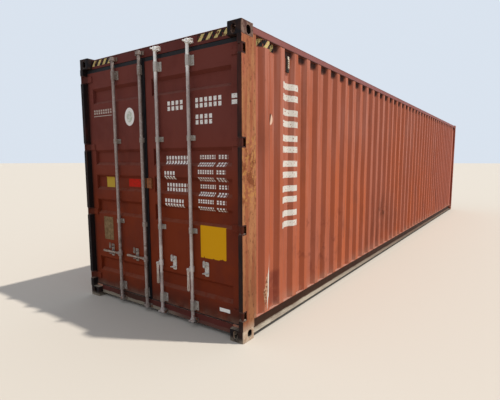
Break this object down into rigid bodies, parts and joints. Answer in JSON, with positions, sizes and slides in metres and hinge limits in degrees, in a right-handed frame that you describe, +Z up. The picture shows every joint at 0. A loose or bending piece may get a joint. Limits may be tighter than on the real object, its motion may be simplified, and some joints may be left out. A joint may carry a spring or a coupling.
{
  "type": "shipping container",
  "caption": "Long corrugated steel freight container with two hinged rear door leaves, upright locking bars with lifting handles, corner castings, ribbed roof and plywood floor.",
  "frame": {"origin": "on the ground, midway between the four bottom corner castings' slots", "axes": "+X along the box from the doors to the blind end, +Y across, towards the left when facing the doors, +Z up"},
  "size_m": [12.2234, 2.438, 2.896],
  "materials": {
    "body_paint": "faded red-brown paint, chalky, with rust",
    "underframe_paint": "dull dark red paint with road dust",
    "casting": "dusty, worn cast steel",
    "galvanised": "weathered galvanised steel",
    "rusty_steel": "brown, rusty steel plate",
    "rubber": "matt black rubber",
    "plywood": "worn plywood",
    "vent_plastic": "matt light grey"
  },
  "bodies": {
    "container_box": {"bottom_corner_castings": "casting", "top_corner_castings": "casting", "door_posts": "body_paint", "front_posts": "body_paint", "door_header": "body_paint", "door_sill": "body_paint", "front_rails": "body_paint", "top_side_rails": "body_paint", "bottom_side_rails": "underframe_paint", "left_side_wall": "body_paint", "right_side_wall": "body_paint", "end_wall": "body_paint", "roof_panel": "body_paint", "frame_plates": "body_paint", "floor_sheets": "plywood", "cross_members": "underframe_paint", "cam_keepers": "galvanised", "hinge_lugs": "body_paint", "side_vents": "vent_plastic"},
    "left_door": {"left_door_frame": "body_paint", "left_door_panel": "body_paint", "left_door_seal": "rubber", "left_door_hinges": "body_paint", "left_door_fittings": "galvanised"},
    "right_door": {"right_door_frame": "body_paint", "right_door_panel": "body_paint", "right_door_seal": "rubber", "right_door_hinges": "body_paint", "right_door_fittings": "galvanised", "seam_plate": "rusty_steel"},
    "bar_1": {"locking_bar_1": "galvanised", "cams_1": "galvanised"},
    "handle_1": {"handle_1": "galvanised"},
    "catch_1": {"catch_1": "galvanised"},
    "bar_2": {"locking_bar_2": "galvanised", "cams_2": "galvanised"},
    "handle_2": {"handle_2": "galvanised"},
    "catch_2": {"catch_2": "galvanised"},
    "bar_3": {"locking_bar_3": "galvanised", "cams_3": "galvanised"},
    "handle_3": {"handle_3": "galvanised"},
    "catch_3": {"catch_3": "galvanised"},
    "bar_4": {"locking_bar_4": "galvanised", "cams_4": "galvanised"},
    "handle_4": {"handle_4": "galvanised"},
    "catch_4": {"catch_4": "galvanised"}
  },
  "joints": [
    {"name": "left_door_hinge", "type": "hinge", "parent": "container_box", "child": "left_door", "pos_m": [-6.082, 1.205, 1.475], "axis": [0, 0, -1], "range_deg": [0, 265]},
    {"name": "right_door_hinge", "type": "hinge", "parent": "container_box", "child": "right_door", "pos_m": [-6.082, -1.205, 1.475], "axis": [0, 0, 1], "range_deg": [0, 265]},
    {"name": "bar_turn_1", "type": "hinge", "parent": "left_door", "child": "bar_1", "pos_m": [-6.072, 0.614, 1.448], "axis": [0, 0, -1], "range_deg": [-150, 0]},
    {"name": "handle_lift_1", "type": "hinge", "parent": "bar_1", "child": "handle_1", "pos_m": [-6.072, 0.655, 0.61], "axis": [1, 0, 0], "range_deg": [0, 12]},
    {"name": "catch_swing_1", "type": "hinge", "parent": "left_door", "child": "catch_1", "pos_m": [-6.085, 0.794, 0.666], "axis": [-1, 0, 0], "range_deg": [0, 170]},
    {"name": "bar_turn_2", "type": "hinge", "parent": "left_door", "child": "bar_2", "pos_m": [-6.072, 0.158, 1.448], "axis": [0, 0, -1], "range_deg": [-150, 0]},
    {"name": "handle_lift_2", "type": "hinge", "parent": "bar_2", "child": "handle_2", "pos_m": [-6.072, 0.199, 0.61], "axis": [1, 0, 0], "range_deg": [0, 12]},
    {"name": "catch_swing_2", "type": "hinge", "parent": "left_door", "child": "catch_2", "pos_m": [-6.085, 0.338, 0.666], "axis": [-1, 0, 0], "range_deg": [0, 170]},
    {"name": "bar_turn_3", "type": "hinge", "parent": "right_door", "child": "bar_3", "pos_m": [-6.072, -0.098, 1.448], "axis": [0, 0, 1], "range_deg": [-40, 110]},
    {"name": "handle_lift_3", "type": "hinge", "parent": "bar_3", "child": "handle_3", "pos_m": [-6.11053, -0.08398, 0.61], "axis": [0.342, 0.9397, 0], "range_deg": [0, 102]},
    {"name": "catch_swing_3", "type": "hinge", "parent": "right_door", "child": "catch_3", "pos_m": [-6.085, -0.278, 0.666], "axis": [1, 0, 0], "range_deg": [0, 170]},
    {"name": "bar_turn_4", "type": "hinge", "parent": "right_door", "child": "bar_4", "pos_m": [-6.072, -0.554, 1.448], "axis": [0, 0, 1], "range_deg": [-40, 110]},
    {"name": "handle_lift_4", "type": "hinge", "parent": "bar_4", "child": "handle_4", "pos_m": [-6.11053, -0.53998, 0.61], "axis": [0.342, 0.9397, 0], "range_deg": [0, 102]},
    {"name": "catch_swing_4", "type": "hinge", "parent": "right_door", "child": "catch_4", "pos_m": [-6.085, -0.734, 0.666], "axis": [1, 0, 0], "range_deg": [0, 170]}
  ]
}
